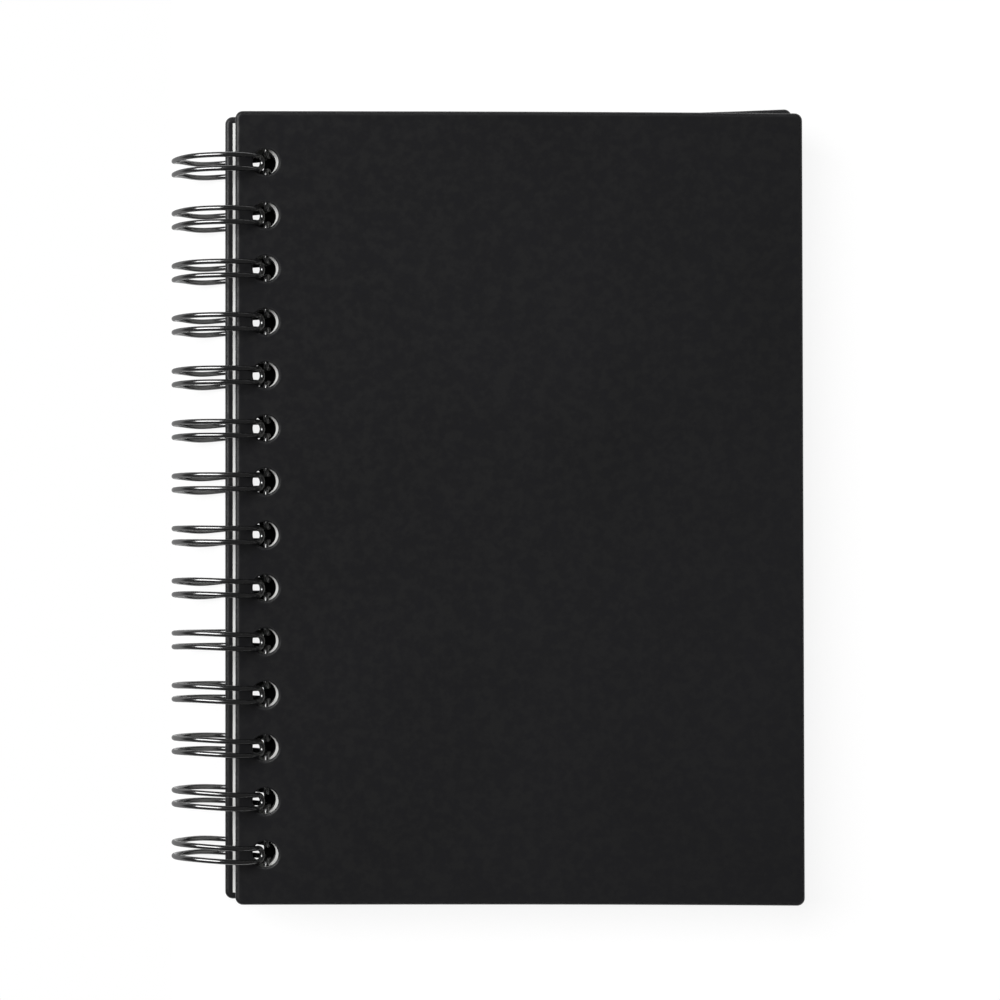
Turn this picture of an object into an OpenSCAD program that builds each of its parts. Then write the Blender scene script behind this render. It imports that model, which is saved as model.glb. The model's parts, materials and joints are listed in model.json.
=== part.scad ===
// Hard-cover notebook bound with twin-loop wire
// The spine runs along Y, the head is at +Y, the fore edge at +X and the front cover on top.
// Lengths are in millimetres, and heights are measured from the lowest point of the rings.

/* [Covers] */
// Height of both covers along the spine
cover_h = 189.5; // [120:0.5:300]
// Width of the front cover, from its spine edge to the middle of its fore edge
front_w = 135.8; // [90:0.1:220]
// Width of the back cover, from its spine edge to the middle of its fore edge
back_w = 137; // [90:0.1:220]
// Thickness of each cover board with its wrap
board_t = 2; // [1.2:0.1:3]
// Radius of the cover corners, seen from above
corner_r = 1.8; // [1:0.1:8]
// Radius that softens the wrapped edges of the covers
edge_r = 0.9; // [0.2:0.05:1]
// How far the head corner of the front cover's fore edge stands out past its foot corner
front_lean = -0.65; // [-2:0.05:2]
// How far the head corner of the back cover's fore edge stands out past its foot corner
back_lean = 0.9; // [-2:0.05:2]
// How far the head edge of the front cover has drifted up at its fore corner
front_rise = -0.35; // [-2:0.05:2]
// How far the head edge of the back cover has drifted up at its fore corner
back_rise = 2.05; // [-2:0.05:3]
// How far the foot edge of the front cover has drifted down at its fore corner
front_drop = 0.45; // [-2:0.05:2]
// How far the foot edge of the back cover has drifted down at its fore corner
back_drop = 0; // [-2:0.05:2]

/* [Pages] */
// Height of the pages along the spine
page_h = 184.2; // [110:0.1:290]
// Width of the pages
page_w = 133.4; // [85:0.1:215]
// Thickness of the whole block of pages
page_t = 11.8; // [6:0.1:24]
// Width of the stretch over which the first pages rise from under the wire seam to the front cover
settle_w = 18; // [8:0.5:40]

/* [Punched holes] */
// Distance between neighbouring holes
hole_pitch = 12.7; // [10:0.1:16]
// Least distance from the first hole's centre to the head of the pages
hole_end = 9; // [7:0.1:15]
// Distance from the spine edge of the front cover to its hole centres
front_inset = 7.2; // [5.5:0.05:12]
// Distance from the spine edge of the pages to their hole centres
page_inset = 6.85; // [5.5:0.05:12]
// Distance from the spine edge of the back cover to its hole centres
back_inset = 6.3; // [5.5:0.05:12]
// Play between the wire pair and the rim of the back cover's hole, which sets the hole size
hole_play = 0.26; // [0.15:0.01:0.6]
// Gap between the wires and the spine side of the front cover's holes
rim_gap = 0.5; // [0.2:0.01:0.7]
// How far the pages stand towards the fore edge from the middle of their play
page_slide = 0.08; // [-0.1:0.01:0.1]

/* [Wire binding] */
// Diameter of the wire
wire_d = 1.25; // [0.8:0.05:1.5]
// Distance between the two wires of a pair, centre to centre
pair_w = 3.27; // [2.6:0.01:4]
// How much wider the rings are, at the middle of the wire, than the closed book is thick
ring_room = 6.7; // [6:0.1:9]
// How far the rings stand out below the back cover
belly = 2.2; // [1.8:0.05:2.6]
// Bend radius where a pair leaves the base wire
bend_r = 1.3; // [0.9:0.05:1.8]
// Gap between a closed tip and the bends of its own pair
tip_gap = 1.65; // [0.1:0.05:1.8]
// Length of base wire left past the first and the last pair
stub_l = 3; // [1:0.1:3.5]

/* [Clearances] */
// Gap between the block of pages and each cover
leaf_gap = 0.05; // [0.02:0.01:0.2]
// Gap between the base wire and the front cover above it
seam_gap = 0.2; // [0.15:0.01:0.5]
// Gap between the base wire and the pages below it
page_gap = 0.15; // [0.1:0.01:0.5]

/* [Hidden] */

// Steps round each corner and over each softened edge of a cover
corner_steps = 6;
edge_steps = 5;
// Steps along each drifted edge and up the settled pages, and how the drift grows
drift_steps = 12;
settle_steps = 12;
drift_power = 3;
// How far a cutter runs past the face it cuts
past = 1;
// A bend is drawn this much thicker than the wire, and the wire runs this far into it, so that they join
swell = 0.01;
lap = 0.05;
round_fn = 64;

wire_r = wire_d / 2;
half_pair = pair_w / 2;
stack_t = page_t + 2 * board_t + 2 * leaf_gap;
ring_r = (stack_t + ring_room) / 2;
ring_out = ring_r + wire_r;
ring_in = ring_r - wire_r;

// Heights of the pieces above the lowest point of the rings
axis_z = ring_out;
back_z = belly;
page_z = back_z + board_t + leaf_gap;
front_z = page_z + page_t + leaf_gap;

// Distance from the ring axis, along X, of a ring of radius r at height z
function ring_x(r, z) = sqrt(r * r - (z - axis_z) * (z - axis_z));

// The stretch of X that the wires take up as they slant through each piece
back_wire_out = ring_x(ring_out, back_z + board_t);
back_wire_in = ring_x(ring_in, back_z);
front_wire_in = ring_x(ring_in, front_z + board_t);

// Holes just clear the pair where it slants most, in the back cover
hole_r = norm([(back_wire_out - back_wire_in) / 2, half_pair]) + hole_play;
hole_reach = sqrt(hole_r * hole_r - half_pair * half_pair);
hole_count = floor((page_h - 2 * hole_end) / hole_pitch) + 1;
function hole_y(i) = (i - (hole_count - 1) / 2) * hole_pitch;

// The base wire lies on the pages, under the front cover, at the seam of the rings
seam_z = front_z - seam_gap - wire_r;
bend_a = atan(bend_r / ring_r);
lap_a = lap / ring_r * 180 / PI;
seam_a = asin((seam_z - axis_z) / norm([ring_r, bend_r]));
base_a = seam_a - bend_a;
// A closed tip reaches down through the front cover and stops above the bends of its own pair
bend_y = half_pair + bend_r;
tip_rise = sqrt(pow(bend_y + wire_d + tip_gap, 2) - bend_y * bend_y) - bend_r;
tip_a = seam_a + tip_rise / ring_r * 180 / PI;

// The pages clear the seam, and hang on the wires with their own play
page_top = page_z + page_t;
page_dip = page_top - (seam_z - wire_r - page_gap);
page_wire_in = ring_x(ring_in, page_z);
page_hole_x = (page_wire_in + ring_out) / 2 + page_slide;
back_hole_x = (back_wire_out + back_wire_in) / 2;
front_hole_x = front_wire_in + hole_reach - rim_gap;
page_x = page_hole_x - page_inset;
back_x = back_hole_x - back_inset;
front_x = front_hole_x - front_inset;
settle_x = page_hole_x + hole_r;

// Where the ring axis and the middle of the covers stand, with the origin under the middle
front_reach = front_x + front_w + abs(front_lean) / 2;
back_reach = back_x + back_w + abs(back_lean) / 2;
axis_x = (ring_out - max(front_reach, back_reach)) / 2;
cover_y = (max(front_drop, back_drop, 0) - max(front_rise, back_rise, 0)) / 2;

module at_axis() {
    translate([axis_x, cover_y, 0])
        children();
}

// Outline of a cover, drawn inset by d, with its spine edge on X = 0
function arc_points(cx, cy, r, from) = [
    for (k = [0:corner_steps])
        let (a = from + k * 90 / corner_steps)
        [cx + r * cos(a), cy + r * sin(a)]
];
// One edge of a cover, from one X to another, that drifts outwards by shift at the fore corner
function edge_points(from, to, side, shift, d) = [
    for (k = [1:drift_steps - 1])
        let (x = from + (to - from) * k / drift_steps)
        [x, side * (cover_h / 2 + shift * pow(x / max(from, to), drift_power) - d)]
];
function outline(w, lean, rise, drop, d) =
    let (r = corner_r - d)
    let (near = corner_r, foot = corner_r - cover_h / 2, head = cover_h / 2 - corner_r)
    let (fore_foot = w - lean / 2 - corner_r, fore_head = w + lean / 2 - corner_r)
    concat(
        arc_points(near, foot, r, 180),
        edge_points(near, fore_foot, -1, drop, d),
        arc_points(fore_foot, foot - drop, r, 270),
        arc_points(fore_head, head + rise, r, 0),
        edge_points(fore_head, near, 1, rise, d),
        arc_points(near, head, r, 90)
    );

// Height and inset of each ring of points, from the bottom face to the top face
function edge_rings() = concat(
    [for (k = [0:edge_steps])
        let (a = 90 * k / edge_steps)
        [edge_r - edge_r * cos(a), edge_r - edge_r * sin(a)]],
    [for (k = [edge_steps:-1:0])
        let (a = 90 * k / edge_steps)
        [board_t - edge_r + edge_r * cos(a), edge_r - edge_r * sin(a)]]
);

// A wrapped board: rings of points joined into one skin with a flat face at each end
module board(w, lean, rise, drop) {
    rings = edge_rings();
    count = len(outline(w, lean, rise, drop, 0));
    last = (len(rings) - 1) * count;
    points = [
        for (ring = rings)
            for (p = outline(w, lean, rise, drop, ring[1]))
                [p[0], p[1], ring[0]]
    ];
    sides = [
        for (j = [0:len(rings) - 2])
            for (i = [0:count - 1])
                let (a = j * count, b = a + count, n = (i + 1) % count)
                [a + i, b + i, b + n, a + n]
    ];
    bottom = [for (i = [0:count - 1]) i];
    top = [for (i = [count - 1:-1:0]) last + i];
    polyhedron(points, concat([bottom, top], sides), convexity = 4);
}

module punch(x, z, h) {
    for (i = [0:hole_count - 1])
        translate([x, hole_y(i), z - past])
            cylinder(h = h + 2 * past, r = hole_r, $fn = round_fn);
}

module front_cover() {
    color([0.12, 0.12, 0.125])
        at_axis()
            difference() {
                translate([front_x, 0, front_z])
                    board(front_w, front_lean, front_rise, front_drop);
                punch(front_hole_x, front_z, board_t);
            }
}

module back_cover() {
    color([0.12, 0.12, 0.125])
        at_axis()
            difference() {
                translate([back_x, 0, back_z])
                    board(back_w, back_lean, back_rise, back_drop);
                punch(back_hole_x, back_z, board_t);
            }
}

// The first pages pass under the seam at the spine and rise to the front cover beyond it
function page_profile() = concat(
    [[page_x, page_z], [page_x + page_w, page_z], [page_x + page_w, page_top]],
    [for (k = [settle_steps:-1:0])
        let (t = k / settle_steps)
        [settle_x + settle_w * t, page_top - page_dip * (1 + cos(180 * t)) / 2]],
    [[page_x, page_top - page_dip]]
);

module page_block() {
    color([0.93, 0.93, 0.91])
        at_axis()
            difference() {
                translate([0, page_h / 2, 0])
                    rotate([90, 0, 0])
                        linear_extrude(height = page_h)
                            polygon(page_profile());
                punch(page_hole_x, page_z, page_t);
            }
}

// Places its children on the ring at angle a, with X outwards, Y along the spine and Z along the wire
module on_ring(a) {
    translate([0, 0, axis_z])
        rotate([0, -a, 0])
            translate([ring_r, 0, 0])
                children();
}

// A bent length of round wire in the local YZ plane, turning from angle a0 through sweep
module bend(r, a0, sweep) {
    rotate([0, 90, 0])
        rotate([0, 0, a0])
            rotate_extrude(angle = sweep, $fn = round_fn)
                translate([r, 0])
                    circle(r = wire_r + swell, $fn = round_fn);
}

// One wire of a pair, from the closed tip round the spine to the bend at the base
module ring_arc(y) {
    translate([0, y, axis_z])
        rotate([90, 0, 0])
            rotate([0, 0, tip_a - lap_a])
                rotate_extrude(angle = 360 + base_a - tip_a + 2 * lap_a, $fn = round_fn)
                    translate([ring_r, 0])
                        circle(r = wire_r, $fn = round_fn);
}

// The straight wire between two pairs
module base_wire(from, to) {
    on_ring(base_a)
        translate([0, from - lap, bend_r])
            rotate([-90, 0, 0])
                cylinder(h = to - from + 2 * lap, r = wire_r, $fn = round_fn);
}

module loop_pair() {
    ring_arc(half_pair);
    ring_arc(-half_pair);
    on_ring(tip_a)
        bend(half_pair, -90, 180);
    for (side = [0, 1])
        mirror([0, side, 0])
            on_ring(base_a)
                translate([0, bend_y, 0])
                    bend(bend_r, 180, 90);
}

module wire_binding() {
    color([0.05, 0.05, 0.055])
        at_axis() {
            for (i = [0:hole_count - 1])
                translate([0, hole_y(i), 0])
                    loop_pair();
            for (i = [0:hole_count - 2])
                base_wire(hole_y(i) + bend_y, hole_y(i + 1) - bend_y);
            base_wire(hole_y(0) - bend_y - stub_l, hole_y(0) - bend_y);
            base_wire(hole_y(hole_count - 1) + bend_y, hole_y(hole_count - 1) + bend_y + stub_l);
        }
}

front_cover();
back_cover();
page_block();
wire_binding();
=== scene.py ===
# Hard-cover notebook bound with twin-loop wire: finishes, light and camera
import json
import math

import bmesh
import bpy
from mathutils import Matrix, Vector


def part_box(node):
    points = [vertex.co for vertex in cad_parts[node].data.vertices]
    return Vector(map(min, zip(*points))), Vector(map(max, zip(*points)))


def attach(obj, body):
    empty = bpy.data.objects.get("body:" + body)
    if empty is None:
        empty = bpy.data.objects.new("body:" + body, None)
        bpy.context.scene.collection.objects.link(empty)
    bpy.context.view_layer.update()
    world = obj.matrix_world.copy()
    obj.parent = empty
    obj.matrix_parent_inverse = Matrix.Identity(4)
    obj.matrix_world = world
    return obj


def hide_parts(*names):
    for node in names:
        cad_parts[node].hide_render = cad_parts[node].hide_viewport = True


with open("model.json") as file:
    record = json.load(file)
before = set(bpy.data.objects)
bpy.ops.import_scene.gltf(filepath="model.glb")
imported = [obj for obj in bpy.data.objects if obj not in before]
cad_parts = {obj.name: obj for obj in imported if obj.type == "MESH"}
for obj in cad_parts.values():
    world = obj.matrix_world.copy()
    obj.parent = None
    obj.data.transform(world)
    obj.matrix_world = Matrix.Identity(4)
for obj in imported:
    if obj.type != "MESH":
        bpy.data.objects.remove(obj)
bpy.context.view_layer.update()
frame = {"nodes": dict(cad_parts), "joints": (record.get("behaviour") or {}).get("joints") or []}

MM = 0.001

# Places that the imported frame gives
hinge = Vector(frame["joints"][0]["pos_m"])
wire_low, wire_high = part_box("wire_binding")
back_low, back_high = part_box("back_cover")
front_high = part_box("front_cover")[1]
page_low, page_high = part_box("page_block")
ring_out = (wire_high.z - wire_low.z) / 2
middle_y = (page_low.y + page_high.y) / 2

# The binding wire, as it is bent; the play keeps the fine tube inside the CAD wire's box
BOX_PLAY = 0.002 * MM
WIRE_R = 0.625 * MM
HALF_PAIR = 1.635 * MM
BEND_R = 1.3 * MM
STUB = 3 * MM
BASE_ANGLE = 10.57
TIP_ANGLE = 36.11
HOLE_PITCH = 12.7 * MM
HOLE_COUNT = 14
ring_r = ring_out - WIRE_R - BOX_PLAY
bend_y = HALF_PAIR + BEND_R

# The punched holes: how far they lie from the ring axis; the sheets' holes follow the rings upwards
HOLE_R = 3.116 * MM
HOLE_SIDES = 72
FRONT_HOLE_X = 10.86 * MM
BACK_HOLE_X = 6.743 * MM
PAGE_HOLE_LOW_X = 9.752 * MM
PAGE_HOLE_HIGH_X = 10.17 * MM

# How far the wrap's turn over the edges of the boards reaches
EDGE_ROUND = 1.1 * MM
EDGE_SAMPLES = 6

# The pages: their dip under the wire seam, and the stretch over which they rise to the front cover
PAGE_DIP = 1.55 * MM
SETTLE_X = 12.87 * MM
SETTLE_W = 18 * MM
SETTLE_STEPS = 24

# The notebook lies on the lowest points of its rings and on the fore edge of its back cover
tilt = math.atan2(back_low.z - wire_low.z, back_high.x - hinge.x)
along_floor = Vector((math.cos(tilt), 0, math.sin(tilt)))
off_floor = Vector((-math.sin(tilt), 0, math.cos(tilt)))

# Edges steeper than this, in degrees, stay crisp
SHARP_ANGLE = 40

# The photograph's camera: straight above the floor
CAMERA_HEIGHT = 880 * MM
CAMERA_ASIDE = 66.92 * MM
CAMERA_UP = 1.88 * MM
FRAME_WIDTH = 238.5 * MM
SENSOR = 36.0
CLIP_NEAR = 0.01
CLIP_FAR = 10

# Floor and backdrop: its colour as light falls on it, and the glow and shade that the camera sees
FLOOR_SIZE = 4.0
FLOOR_MARGIN = 1 * MM
FLOOR_COLOUR = (0.8, 0.8, 0.8, 1)
FLOOR_GLOW = 0.88
FLOOR_SHADE = 0.15

# Studio light: a dim even light, what gloss sees above and below the horizon, and how soft that is
AMBIENT = 0.2
GLOSS_ABOVE = 0.05
GLOSS_BELOW = 0.5
HORIZON_BLUR = 0.35

# The key: a long softbox, turned from straight above to the left and then towards the head, in degrees
KEY_LEFT = 30
KEY_HEADWARDS = 16
KEY_DISTANCE = 1.2
KEY_WIDTH = 0.8
KEY_LENGTH = 1.28
KEY_GLOW = 5.5


def hole_y(i):
    """The place along the spine of hole i, counted from the foot."""
    return middle_y + (i - (HOLE_COUNT - 1) / 2) * HOLE_PITCH


# Mesh helpers
def new_object(name, mesh):
    """An object in the scene, made from a mesh."""
    piece = bpy.data.objects.new(name, mesh)
    bpy.context.scene.collection.objects.link(piece)
    return piece


def shade(mesh):
    """Smooth shading, with steep edges kept crisp."""
    mesh.shade_smooth()
    mesh.set_sharp_from_angle(angle=math.radians(SHARP_ANGLE))


def mesh_from(name, points, faces):
    """A smooth shaded mesh from its points and faces."""
    mesh = bpy.data.meshes.new(name)
    mesh.from_pydata([tuple(p) for p in points], [], faces)
    shade(mesh)
    return mesh


def punched(name, mesh, low, high, radius):
    """The same mesh with a row of round holes cut through it, from a low to a high centre."""
    cutter = bmesh.new()
    middle = (low + high) / 2
    slant = Matrix.Identity(4)
    slant[0][2] = (high.x - low.x) / (high.z - low.z)
    for i in range(HOLE_COUNT):
        place = Matrix.Translation((middle.x, hole_y(i), middle.z)) @ slant
        bmesh.ops.create_cone(cutter, cap_ends=True, segments=HOLE_SIDES, radius1=radius,
                              radius2=radius, depth=2 * (high.z - low.z), matrix=place)
    cutter_mesh = bpy.data.meshes.new("punch")
    cutter.to_mesh(cutter_mesh)
    cutter.free()
    tool = new_object("punch", cutter_mesh)
    blank = new_object("blank", mesh)
    cut = blank.modifiers.new("cut", "BOOLEAN")
    cut.operation = "DIFFERENCE"
    cut.solver = "EXACT"
    cut.object = tool
    graph = bpy.context.evaluated_depsgraph_get()
    result = bpy.data.meshes.new_from_object(blank.evaluated_get(graph))
    result.name = name
    bpy.data.objects.remove(blank)
    bpy.data.objects.remove(tool)
    shade(result)
    return result


# Shader helpers
def new_material(name):
    """A new material and its empty node tree."""
    material = bpy.data.materials.new(name)
    material.use_nodes = True
    tree = material.node_tree
    tree.nodes.clear()
    return material, tree


def add(tree, kind, **inputs):
    """A new shader node, with its input sockets set by name."""
    node = tree.nodes.new(kind)
    for key, value in inputs.items():
        node.inputs[key].default_value = value
    return node


def link(tree, source, target):
    """Feeds one socket into another."""
    tree.links.new(source, target)


def math_node(tree, operation, a, b=0.0):
    """The result socket of a math node; a and b are sockets or numbers."""
    node = tree.nodes.new("ShaderNodeMath")
    node.operation = operation
    for socket, value in zip(node.inputs, (a, b)):
        if isinstance(value, (int, float)):
            socket.default_value = value
        else:
            link(tree, value, socket)
    return node.outputs[0]


def smooth_range(tree, value, low, high, out_low=0.0, out_high=1.0):
    """A smooth step of a socket, from one value to another."""
    node = tree.nodes.new("ShaderNodeMapRange")
    node.interpolation_type = "SMOOTHSTEP"
    link(tree, value, node.inputs["Value"])
    node.inputs["From Min"].default_value = low
    node.inputs["From Max"].default_value = high
    node.inputs["To Min"].default_value = out_low
    node.inputs["To Max"].default_value = out_high
    return node.outputs["Result"]


def ramp(tree, factor, stops):
    """A colour ramp over a factor; stops are (position, grey or colour)."""
    node = tree.nodes.new("ShaderNodeValToRGB")
    link(tree, factor, node.inputs["Fac"])
    elements = node.color_ramp.elements
    while len(elements) < len(stops):
        elements.new(0.5)
    for element, (position, colour) in zip(elements, stops):
        element.position = position
        grey = isinstance(colour, (int, float))
        element.color = (colour, colour, colour, 1) if grey else (*colour, 1)
    return node.outputs["Color"]


def noise(tree, place, scale, detail=2.0, rough=0.5):
    """A noise over a place, with so many features to a metre."""
    node = add(tree, "ShaderNodeTexNoise", Scale=scale, Detail=detail, Roughness=rough)
    link(tree, place, node.inputs["Vector"])
    return node.outputs["Fac"]


def bump(tree, height, distance, strength, under=None):
    """Normals bent by a height, on top of the normals under it."""
    node = add(tree, "ShaderNodeBump", Strength=strength, Distance=distance)
    link(tree, height, node.inputs["Height"])
    if under is not None:
        link(tree, under, node.inputs["Normal"])
    return node.outputs["Normal"]


def blend_colour(tree, factor, a, b):
    """A mix of two colours, given as sockets or tuples."""
    node = tree.nodes.new("ShaderNodeMix")
    node.data_type = "RGBA"
    link(tree, factor, node.inputs[0])
    for socket, value in zip((node.inputs[6], node.inputs[7]), (a, b)):
        if isinstance(value, tuple):
            socket.default_value = value
        else:
            link(tree, value, socket)
    return node.outputs[2]


def split_xyz(tree, vector):
    """The three parts of a vector socket."""
    node = tree.nodes.new("ShaderNodeSeparateXYZ")
    link(tree, vector, node.inputs["Vector"])
    return node.outputs["X"], node.outputs["Y"], node.outputs["Z"]


def hole_distance(tree, x, y, centre_x):
    """How far a point lies from the middle of the nearest punched hole."""
    along = math_node(tree, "DIVIDE", math_node(tree, "SUBTRACT", y, hole_y(0)), HOLE_PITCH)
    rounded = math_node(tree, "MAXIMUM", math_node(tree, "ROUND", along), 0.0)
    nearest = math_node(tree, "MINIMUM", rounded, HOLE_COUNT - 1.0)
    dy = math_node(tree, "MULTIPLY", math_node(tree, "SUBTRACT", along, nearest), HOLE_PITCH)
    dx = math_node(tree, "SUBTRACT", x, centre_x)
    square = math_node(tree, "ADD", math_node(tree, "MULTIPLY", dx, dx),
                       math_node(tree, "MULTIPLY", dy, dy))
    return math_node(tree, "SQRT", square)


def rounded_edges(tree, radius):
    """Normals that turn smoothly over the edges, within a radius."""
    node = tree.nodes.new("ShaderNodeBevel")
    node.samples = EDGE_SAMPLES
    node.inputs["Radius"].default_value = radius
    return node.outputs["Normal"]


def finish_surface(tree, shader):
    """Makes a shader the surface of its material."""
    out = tree.nodes.new("ShaderNodeOutputMaterial")
    link(tree, shader, out.inputs["Surface"])


# Finishes: the darkest and lightest colour of each surface, the painted sheen of the wrap where it
# turns over an edge, and the painted shade between the sheets
WRAP_DARK = (0.0002, 0.0002, 0.0006)
WRAP_LIGHT = (0.0058, 0.0058, 0.0074)
# Painted sheen: the wrap's lighter colour where it turns over an edge
WRAP_EDGE_SHEEN = (0.014, 0.014, 0.015, 1)
BOARD_DARK = (0.16, 0.16, 0.155)
BOARD_LIGHT = (0.26, 0.26, 0.25)
PAPER_DARK = (0.74, 0.74, 0.725)
PAPER_LIGHT = (0.8, 0.8, 0.785)
# Painted shade: the grey in the gaps between the sheets on a cut edge
SHEET_GAP_SHADE = (0.36, 0.36, 0.345, 1)
ENAMEL_DARK = (0.003, 0.003, 0.0033)
ENAMEL_LIGHT = (0.005, 0.005, 0.0054)

# How rough each surface is, and how strongly it shines
WRAP_ROUGH_LOW = 0.82
WRAP_ROUGH_HIGH = 1.0
WRAP_SPECULAR = 0.41
PAPER_ROUGH = 0.8
PAPER_SPECULAR = 0.25
ENAMEL_ROUGH_LOW = 0.17
ENAMEL_ROUGH_HIGH = 0.22
ENAMEL_SPECULAR = 1.0
ENAMEL_IOR = 2.05

# How many features each pattern has to a metre, and where its dark and its light part lie
MOTTLE_SCALE = 420
CLOUD_SCALE = 22
GRAIN_SCALE = 3600
WANDER_SCALE = 60
FIBRE_SCALE = 900
PEEL_SCALE = 1400
PATCH_SCALE = 90
NOISE_LOW = 0.3
NOISE_HIGH = 0.7
MOTTLE_SHARE = 0.75

# How deep each pattern is pressed into its surface
GRAIN_DEPTH = 0.012 * MM
MOTTLE_DEPTH = 0.03 * MM
FIBRE_DEPTH = 0.01 * MM
LINE_DEPTH = 0.02 * MM
PEEL_DEPTH = 0.004 * MM

# How much of a normal points up: where the wrap begins to stretch over an edge, with painted sheen
# there, where that stretch is complete, and where a face gives way to a side and where that side is
# complete
STRETCH_BEGINS = 0.999
STRETCH_ENDS = 0.95
STRETCH_SMOOTHS = 0.64
SIDE_BEGINS = 0.5
SIDE_ENDS = 0.3

# The ring round a punched hole where wrap gives way to bare board, as shares of the hole's radius
RIM_OUTER = 1.03
RIM_INNER = 1.01

# How thick a sheet is, how far its cut edge wanders, the form of that edge, and its least painted shade
SHEET_T = 0.1 * MM
SHEET_WANDER = 0.05 * MM
SHEET_FORM = [(0.0, 0.0), (0.35, 1.0), (0.75, 1.0), (1.0, 0.0)]
SHEET_SHADE = 0.45


def cover_wrap(name, hole_x):
    """Matt black wrap, smoother and with painted sheen where it turns over the edges, bare board inside
    the holes.
    """
    material, tree = new_material(name)
    texture = tree.nodes.new("ShaderNodeTexCoord")
    place = texture.outputs["Object"]
    x, y = split_xyz(tree, place)[:2]
    upright = math_node(tree, "ABSOLUTE", split_xyz(tree, texture.outputs["Normal"])[2])
    turned = rounded_edges(tree, EDGE_ROUND)
    level = math_node(tree, "ABSOLUTE", split_xyz(tree, turned)[2])
    edge_smooth_and_sheen = smooth_range(tree, level, STRETCH_BEGINS, STRETCH_ENDS)
    mottle = noise(tree, place, MOTTLE_SCALE, 3.0, 0.6)
    cloud = noise(tree, place, CLOUD_SCALE)
    grain = noise(tree, place, GRAIN_SCALE, 2.0, 0.6)
    patches = math_node(tree, "ADD", math_node(tree, "MULTIPLY", mottle, MOTTLE_SHARE),
                        math_node(tree, "MULTIPLY", cloud, 1 - MOTTLE_SHARE))
    wrap = ramp(tree, patches, [(NOISE_LOW, WRAP_DARK), (NOISE_HIGH, WRAP_LIGHT)])
    from_middle = hole_distance(tree, x, y, hole_x)
    near_hole = smooth_range(tree, from_middle, HOLE_R * RIM_OUTER, HOLE_R * RIM_INNER)
    side = smooth_range(tree, upright, SIDE_BEGINS, SIDE_ENDS)
    in_hole = math_node(tree, "MULTIPLY", near_hole, side)
    board = ramp(tree, grain, [(NOISE_LOW, BOARD_DARK), (NOISE_HIGH, BOARD_LIGHT)])
    # Painted sheen: the wrap is made lighter where it turns over an edge
    wrap = blend_colour(tree, edge_smooth_and_sheen, wrap, WRAP_EDGE_SHEEN)
    colour = blend_colour(tree, in_hole, wrap, board)
    face_rough = smooth_range(tree, mottle, NOISE_LOW, NOISE_HIGH, WRAP_ROUGH_LOW, WRAP_ROUGH_HIGH)
    smoother = math_node(tree, "MULTIPLY", edge_smooth_and_sheen, STRETCH_SMOOTHS)
    rough = math_node(tree, "SUBTRACT", face_rough, smoother)
    shader = add(tree, "ShaderNodeBsdfPrincipled")
    shader.inputs["Specular IOR Level"].default_value = WRAP_SPECULAR
    link(tree, colour, shader.inputs["Base Color"])
    link(tree, rough, shader.inputs["Roughness"])
    normal = bump(tree, grain, GRAIN_DEPTH, 0.5, turned)
    normal = bump(tree, mottle, MOTTLE_DEPTH, 0.4, normal)
    link(tree, normal, shader.inputs["Normal"])
    finish_surface(tree, shader.outputs["BSDF"])
    return material


def page_paper():
    """White paper: plain on its faces; every cut edge has the lines of the sheets and painted shade."""
    material, tree = new_material("page_paper")
    texture = tree.nodes.new("ShaderNodeTexCoord")
    place = texture.outputs["Object"]
    z = split_xyz(tree, place)[2]
    flat = math_node(tree, "ABSOLUTE", split_xyz(tree, texture.outputs["Normal"])[2])
    edge = math_node(tree, "LESS_THAN", flat, SIDE_BEGINS)
    wander = noise(tree, place, WANDER_SCALE)
    height = math_node(tree, "ADD", z, math_node(tree, "MULTIPLY", wander, SHEET_WANDER))
    sheets = math_node(tree, "FRACT", math_node(tree, "MULTIPLY", height, 1 / SHEET_T))
    rounded = ramp(tree, sheets, SHEET_FORM)
    line = math_node(tree, "MULTIPLY", rounded, edge)
    fibre = noise(tree, place, FIBRE_SCALE, 4.0, 0.6)
    paper = ramp(tree, fibre, [(NOISE_LOW, PAPER_DARK), (NOISE_HIGH, PAPER_LIGHT)])
    # Painted shade: the gaps between the sheets, and at least SHEET_SHADE of it over the whole cut edge
    gap_shade = math_node(tree, "SUBTRACT", edge, line)
    shaded = math_node(tree, "MAXIMUM", gap_shade, math_node(tree, "MULTIPLY", edge, SHEET_SHADE))
    colour = blend_colour(tree, shaded, paper, SHEET_GAP_SHADE)
    shader = add(tree, "ShaderNodeBsdfPrincipled", Roughness=PAPER_ROUGH)
    shader.inputs["Specular IOR Level"].default_value = PAPER_SPECULAR
    link(tree, colour, shader.inputs["Base Color"])
    normal = bump(tree, fibre, FIBRE_DEPTH, 0.5)
    normal = bump(tree, line, LINE_DEPTH, 0.6, normal)
    link(tree, normal, shader.inputs["Normal"])
    finish_surface(tree, shader.outputs["BSDF"])
    return material


def binding_wire():
    """Gloss black enamel on round wire, with a trace of orange peel."""
    material, tree = new_material("binding_wire")
    place = tree.nodes.new("ShaderNodeTexCoord").outputs["Object"]
    peel = noise(tree, place, PEEL_SCALE)
    patch = noise(tree, place, PATCH_SCALE)
    colour = ramp(tree, patch, [(NOISE_LOW, ENAMEL_DARK), (NOISE_HIGH, ENAMEL_LIGHT)])
    rough = smooth_range(tree, patch, NOISE_LOW, NOISE_HIGH, ENAMEL_ROUGH_LOW, ENAMEL_ROUGH_HIGH)
    shader = add(tree, "ShaderNodeBsdfPrincipled", IOR=ENAMEL_IOR)
    shader.inputs["Specular IOR Level"].default_value = ENAMEL_SPECULAR
    link(tree, colour, shader.inputs["Base Color"])
    link(tree, rough, shader.inputs["Roughness"])
    link(tree, bump(tree, peel, PEEL_DEPTH, 0.3), shader.inputs["Normal"])
    finish_surface(tree, shader.outputs["BSDF"])
    return material


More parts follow.
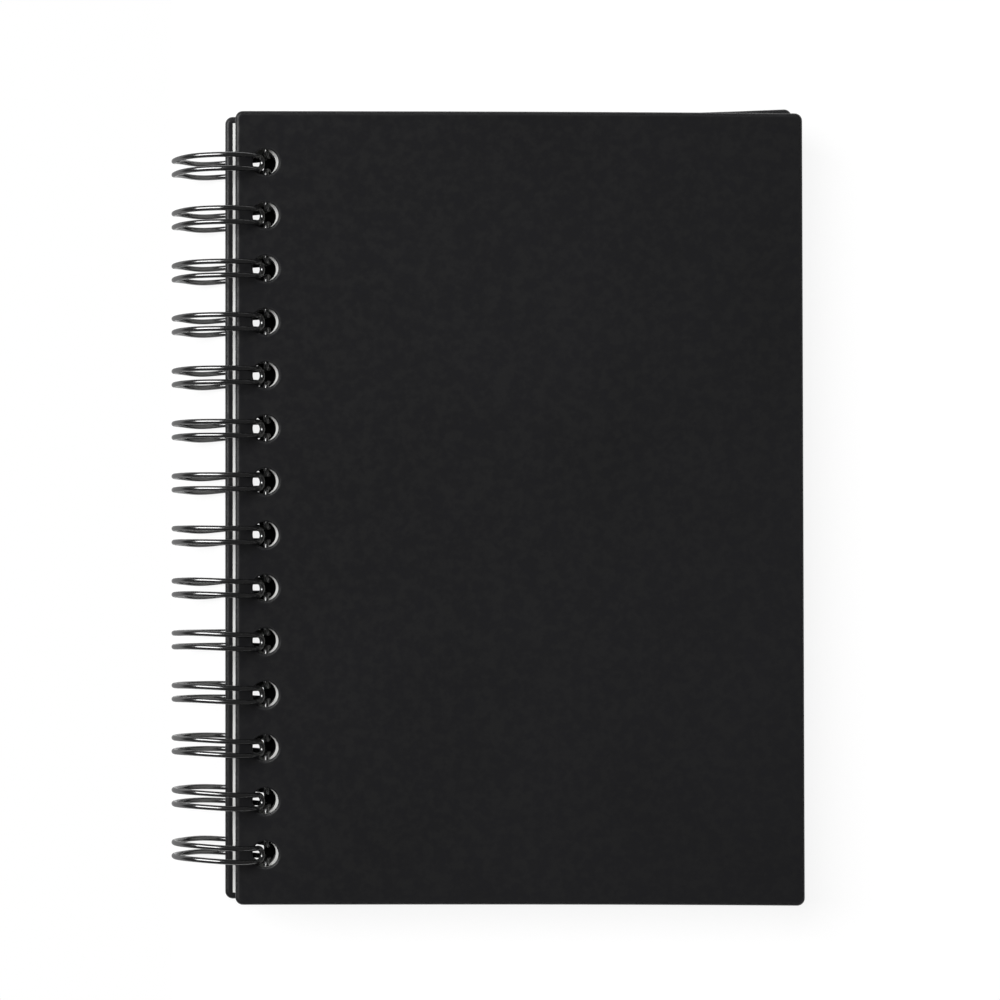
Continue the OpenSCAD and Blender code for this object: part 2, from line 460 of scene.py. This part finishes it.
# Pieces: the sides of the wire's tube, and its steps in a bend, in a tip and in an arc
TUBE_SIDES = 18
BEND_STEPS = 9
TIP_STEPS = 18
ARC_STEPS = 112

# How far the loops lean towards the head, in millimetres: all the tips alike, and then the upper
# sides, left ends and lower sides, where each pair is a loop, counted from the head, and its lean
TIP_LEAN = -0.2
UPPER_LEAN = [(1, -0.55), (8, -0.05), (9, 0.29), (14, 0.69)]
LEFT_LEAN = [(1, -1.1), (7, -0.4), (14, 0.75)]
LOWER_LEAN = [(1, -0.82), (5, -1.0), (9, -0.96), (10, -0.06), (14, 0.7)]

# Where round the ring axis those places are, in degrees, and the most that a loop leans where the
# front cover's holes come when it lies open; the lean dies out where the back cover's holes are
UPPER_AT = 118
LEFT_AT = 170
OPEN_HOLE_AT = 207
LOWER_AT = 242
FADING_AT = 282
GONE_AT = 306
FADING_SHARE = 0.3
HOLE_LEAN_LIMIT = 0.65


def between(stops, x):
    """A value read off straight lines between stops."""
    for (x0, v0), (x1, v1) in zip(stops, stops[1:]):
        if x <= x1:
            return v0 + (v1 - v0) * (x - x0) / (x1 - x0)
    return stops[-1][1]


def eased(stops, x):
    """A value read off a smooth curve through stops, level at both ends."""
    slopes = [0.0]
    for before, after in zip(stops, stops[2:]):
        slopes.append((after[1] - before[1]) / (after[0] - before[0]))
    slopes.append(0.0)
    for k in range(len(stops) - 1):
        (x0, v0), (x1, v1) = stops[k], stops[k + 1]
        if x <= x1:
            break
    span = x1 - x0
    t = min(max((x - x0) / span, 0.0), 1.0)
    start = (1 + 2 * t) * (1 - t) ** 2 * v0 + t * (1 - t) ** 2 * span * slopes[k]
    return start + t * t * (3 - 2 * t) * v1 + t * t * (t - 1) * span * slopes[k + 1]


def loop_shift(i, angle):
    """How far loop i leans along the spine at an angle round the ring axis."""
    loop = HOLE_COUNT - i
    upper = between(UPPER_LEAN, loop)
    left = between(LEFT_LEAN, loop)
    lower = between(LOWER_LEAN, loop)
    in_hole = max(-HOLE_LEAN_LIMIT, min(HOLE_LEAN_LIMIT, (left + lower) / 2))
    stops = [(TIP_ANGLE, TIP_LEAN), (UPPER_AT, upper), (LEFT_AT, left),
             (OPEN_HOLE_AT, in_hole), (LOWER_AT, lower), (FADING_AT, lower * FADING_SHARE),
             (GONE_AT, 0.0), (360 + BASE_ANGLE, 0.0)]
    return eased(stops, angle) * MM


def on_ring(angle, along, ahead=0.0):
    """A point on or beside the ring: along the spine, and ahead along the wire."""
    a = math.radians(angle)
    out = Vector((math.cos(a), 0, math.sin(a)))
    tangent = Vector((-math.sin(a), 0, math.cos(a)))
    return hinge + out * ring_r + tangent * ahead + Vector((0, along, 0))


def wire_route():
    """The middle of the one wire, from its stub at the foot to its stub at the head."""
    sweep = 360 + BASE_ANGLE - TIP_ANGLE
    points = [on_ring(BASE_ANGLE, hole_y(0) - bend_y - STUB, BEND_R)]
    for i in range(HOLE_COUNT):
        y = hole_y(i)
        for k in range(BEND_STEPS + 1):
            a = math.radians(90 * k / BEND_STEPS)
            points.append(on_ring(BASE_ANGLE, y - bend_y + BEND_R * math.sin(a), BEND_R * math.cos(a)))
        for k in range(1, ARC_STEPS):
            angle = BASE_ANGLE + 360 - sweep * k / ARC_STEPS
            points.append(on_ring(angle, y - HALF_PAIR + loop_shift(i, angle)))
        for k in range(TIP_STEPS + 1):
            a = math.radians(180 * k / TIP_STEPS)
            across = loop_shift(i, TIP_ANGLE) - HALF_PAIR * math.cos(a)
            points.append(on_ring(TIP_ANGLE, y + across, -HALF_PAIR * math.sin(a)))
        for k in range(1, ARC_STEPS):
            angle = TIP_ANGLE + sweep * k / ARC_STEPS
            points.append(on_ring(angle, y + HALF_PAIR + loop_shift(i, angle)))
        for k in range(BEND_STEPS + 1):
            a = math.radians(90 * k / BEND_STEPS)
            points.append(on_ring(BASE_ANGLE, y + bend_y - BEND_R * math.cos(a), BEND_R * math.sin(a)))
    points.append(on_ring(BASE_ANGLE, hole_y(HOLE_COUNT - 1) + bend_y + STUB, BEND_R))
    return points


def tube(name, route, radius):
    """A round tube along a route, with flat ends; its section is carried along without twist."""
    count = len(route)
    points, faces = [], []
    side = None
    for i, p in enumerate(route):
        ahead = (route[min(i + 1, count - 1)] - route[max(i - 1, 0)]).normalized()
        if side is None:
            side = ahead.orthogonal().normalized()
        side = (side - ahead * side.dot(ahead)).normalized()
        other = ahead.cross(side)
        for k in range(TUBE_SIDES):
            a = 2 * math.pi * k / TUBE_SIDES
            points.append(p + side * (radius * math.cos(a)) + other * (radius * math.sin(a)))
    for i in range(count - 1):
        for k in range(TUBE_SIDES):
            n = (k + 1) % TUBE_SIDES
            a, b = i * TUBE_SIDES, (i + 1) * TUBE_SIDES
            faces.append((a + k, a + n, b + n, b + k))
    faces.append(tuple(reversed(range(TUBE_SIDES))))
    faces.append(tuple((count - 1) * TUBE_SIDES + k for k in range(TUBE_SIDES)))
    return mesh_from(name, points, faces)


def add_piece(name, mesh, node, body, material):
    """A piece that rides on a body and stands for a CAD node."""
    piece = new_object(name, mesh)
    mesh.materials.clear()
    mesh.materials.append(material)
    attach(piece, body)
    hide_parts(node)


def page_mesh():
    """The pages: dipped under the wire seam at the spine, rising to the front cover beyond it."""
    profile = [(page_low.x, page_low.z), (page_high.x, page_low.z), (page_high.x, page_high.z)]
    for k in range(SETTLE_STEPS, -1, -1):
        t = k / SETTLE_STEPS
        drop = PAGE_DIP * (1 + math.cos(math.pi * t)) / 2
        profile.append((hinge.x + SETTLE_X + SETTLE_W * t, page_high.z - drop))
    profile.append((page_low.x, page_high.z - PAGE_DIP))
    count = len(profile)
    points = [(x, y, z) for y in (page_low.y, page_high.y) for x, z in profile]
    faces = [(i, count + i, count + (i + 1) % count, (i + 1) % count) for i in range(count)]
    faces.append(tuple(range(count)))
    faces.append(tuple(count + i for i in reversed(range(count))))
    blank = mesh_from("pages", points, faces)
    low = Vector((hinge.x + PAGE_HOLE_LOW_X, 0, page_low.z))
    high = Vector((hinge.x + PAGE_HOLE_HIGH_X, 0, page_high.z))
    return punched("pages", blank, low, high, HOLE_R)


paper = page_paper()
wire = binding_wire()
FINISHES = {
    "front_cover": cover_wrap("cover_wrap_front", hinge.x + FRONT_HOLE_X),
    "back_cover": cover_wrap("cover_wrap_back", hinge.x + BACK_HOLE_X),
    "page_block": paper,
    "wire_binding": wire,
}
for node, finish in FINISHES.items():
    mesh = frame["nodes"][node].data
    mesh.materials.clear()
    mesh.materials.append(finish)
add_piece("wire", tube("wire", wire_route(), WIRE_R), "wire_binding", "binding", wire)
add_piece("pages", page_mesh(), "page_block", "binding", paper)


# Surroundings
def floor_material():
    """White floor that the camera sees as white, with the notebook's shadow kept faintly."""
    material, tree = new_material("floor")
    diffuse = add(tree, "ShaderNodeBsdfDiffuse", Color=FLOOR_COLOUR)
    shaded = add(tree, "ShaderNodeBsdfDiffuse", Color=(FLOOR_SHADE,) * 3 + (1,))
    glow = add(tree, "ShaderNodeEmission", Color=(1, 1, 1, 1), Strength=FLOOR_GLOW)
    seen = tree.nodes.new("ShaderNodeAddShader")
    link(tree, shaded.outputs[0], seen.inputs[0])
    link(tree, glow.outputs[0], seen.inputs[1])
    rays = tree.nodes.new("ShaderNodeLightPath")
    mixed = tree.nodes.new("ShaderNodeMixShader")
    link(tree, rays.outputs["Is Camera Ray"], mixed.inputs["Fac"])
    link(tree, diffuse.outputs[0], mixed.inputs[1])
    link(tree, seen.outputs[0], mixed.inputs[2])
    finish_surface(tree, mixed.outputs[0])
    return material


def add_floor():
    """A white table top that ends just past the rings, so that an opened cover can hang past it."""
    near = wire_low.x - FLOOR_MARGIN - hinge.x
    far = FLOOR_SIZE / 2
    corners = [(near, -far), (far, -far), (far, far), (near, far)]
    foot = hinge - off_floor * ring_out
    points = [foot + along_floor * x + Vector((0, y, 0)) for x, y in corners]
    floor = new_object("floor", mesh_from("floor", points, [(0, 1, 2, 3)]))
    floor.data.materials.append(floor_material())


def add_world():
    """White for the camera and a dim even light; gloss sees dark above and pale floor below."""
    world = bpy.data.worlds.new("studio")
    bpy.context.scene.world = world
    world.use_nodes = True
    tree = world.node_tree
    tree.nodes.clear()
    rays = tree.nodes.new("ShaderNodeLightPath")
    direct = math_node(tree, "MAXIMUM", rays.outputs["Is Camera Ray"],
                       rays.outputs["Is Transmission Ray"])
    height = split_xyz(tree, tree.nodes.new("ShaderNodeTexCoord").outputs["Generated"])[2]
    gloss = smooth_range(tree, height, 0.0, -HORIZON_BLUR, GLOSS_ABOVE, GLOSS_BELOW)
    change = math_node(tree, "SUBTRACT", gloss, AMBIENT)
    extra = math_node(tree, "MULTIPLY", change, rays.outputs["Is Glossy Ray"])
    even = math_node(tree, "ADD", extra, AMBIENT)
    lacking = math_node(tree, "MULTIPLY", math_node(tree, "SUBTRACT", 1.0, even), direct)
    light = add(tree, "ShaderNodeBackground", Color=(1, 1, 1, 1))
    link(tree, math_node(tree, "ADD", even, lacking), light.inputs["Strength"])
    out = tree.nodes.new("ShaderNodeOutputWorld")
    link(tree, light.outputs[0], out.inputs["Surface"])


def add_key():
    """A long rectangular lamp aimed at the notebook, its length in the plane of the rings."""
    left = math.radians(KEY_LEFT)
    headwards = math.radians(KEY_HEADWARDS)
    level = math.cos(headwards)
    away = Vector((-math.sin(left) * level, math.sin(headwards), math.cos(left) * level))
    length_axis = away.cross(Vector((0, 1, 0))).normalized()
    turn = Matrix((length_axis.cross(away), length_axis, away)).transposed()
    data = bpy.data.lights.new("key", "AREA")
    data.shape = "RECTANGLE"
    data.size = KEY_WIDTH
    data.size_y = KEY_LENGTH
    data.energy = KEY_GLOW * math.pi * KEY_WIDTH * KEY_LENGTH
    lamp = bpy.data.objects.new("key", data)
    lamp.matrix_world = Matrix.Translation(away * KEY_DISTANCE) @ turn.to_4x4()
    bpy.context.scene.collection.objects.link(lamp)


def add_camera():
    """The photograph's view, straight down on the floor."""
    data = bpy.data.cameras.new("camera")
    data.sensor_width = SENSOR
    data.lens = SENSOR * CAMERA_HEIGHT / FRAME_WIDTH
    data.clip_start = CLIP_NEAR
    data.clip_end = CLIP_FAR
    camera = bpy.data.objects.new("camera", data)
    # The scale holds at the top of the front cover, beside its holes
    top = Vector((wire_high.x - hinge.x, 0, front_high.z - hinge.z)).dot(off_floor)
    place = hinge + along_floor * CAMERA_ASIDE + off_floor * (top + CAMERA_HEIGHT)
    place.y = middle_y + CAMERA_UP
    turn = Matrix((along_floor, Vector((0, 1, 0)), off_floor)).transposed()
    camera.matrix_world = Matrix.Translation(place) @ turn.to_4x4()
    bpy.context.scene.collection.objects.link(camera)
    bpy.context.scene.camera = camera


add_world()
add_floor()
add_key()
add_camera()
bpy.context.scene.view_settings.view_transform = "Standard"
